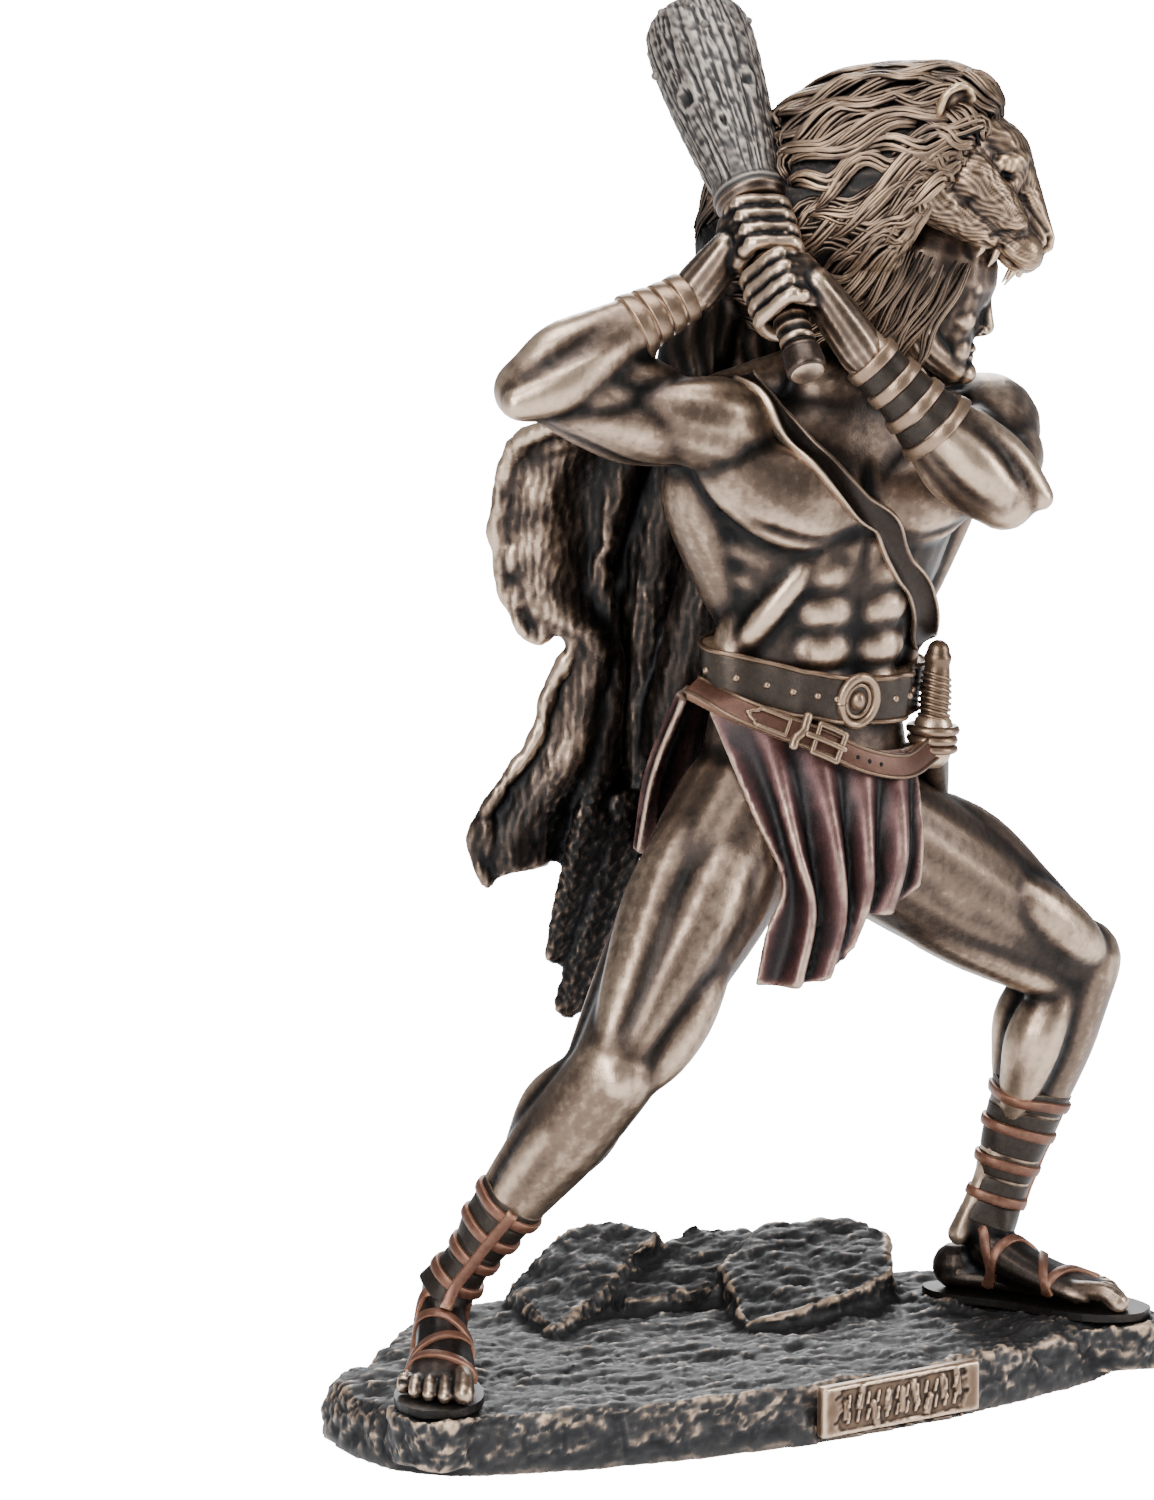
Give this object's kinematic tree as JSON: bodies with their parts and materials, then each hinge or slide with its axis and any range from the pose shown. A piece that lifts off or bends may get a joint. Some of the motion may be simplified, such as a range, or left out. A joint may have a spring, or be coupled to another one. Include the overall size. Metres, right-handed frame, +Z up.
{
  "type": "hercules statuette",
  "caption": "Standing figure of Hercules lunging with a raised club, in a lion skin, kilt and sandals, on a low rock base with a nameplate.",
  "frame": {"origin": "under the middle of the statuette's box, on the surface that it stands on", "axes": "+Z up, -Y out of the nameplate, the figure's left is +X"},
  "size_m": [0.1807, 0.1074, 0.2814],
  "materials": {
    "rock": "cast resin painted near black, with bronze rubbed on its edges",
    "bronze": "cold-cast resin with a rubbed bronze finish, dark in its hollows",
    "club": "cast resin painted dark grey brown, rubbed on its grain",
    "nameplate": "cast resin with a bronze finish"
  },
  "bodies": {
    "root": {"base": "rock", "figure": "bronze", "club": "club", "nameplate": "nameplate"}
  },
  "joints": []
}
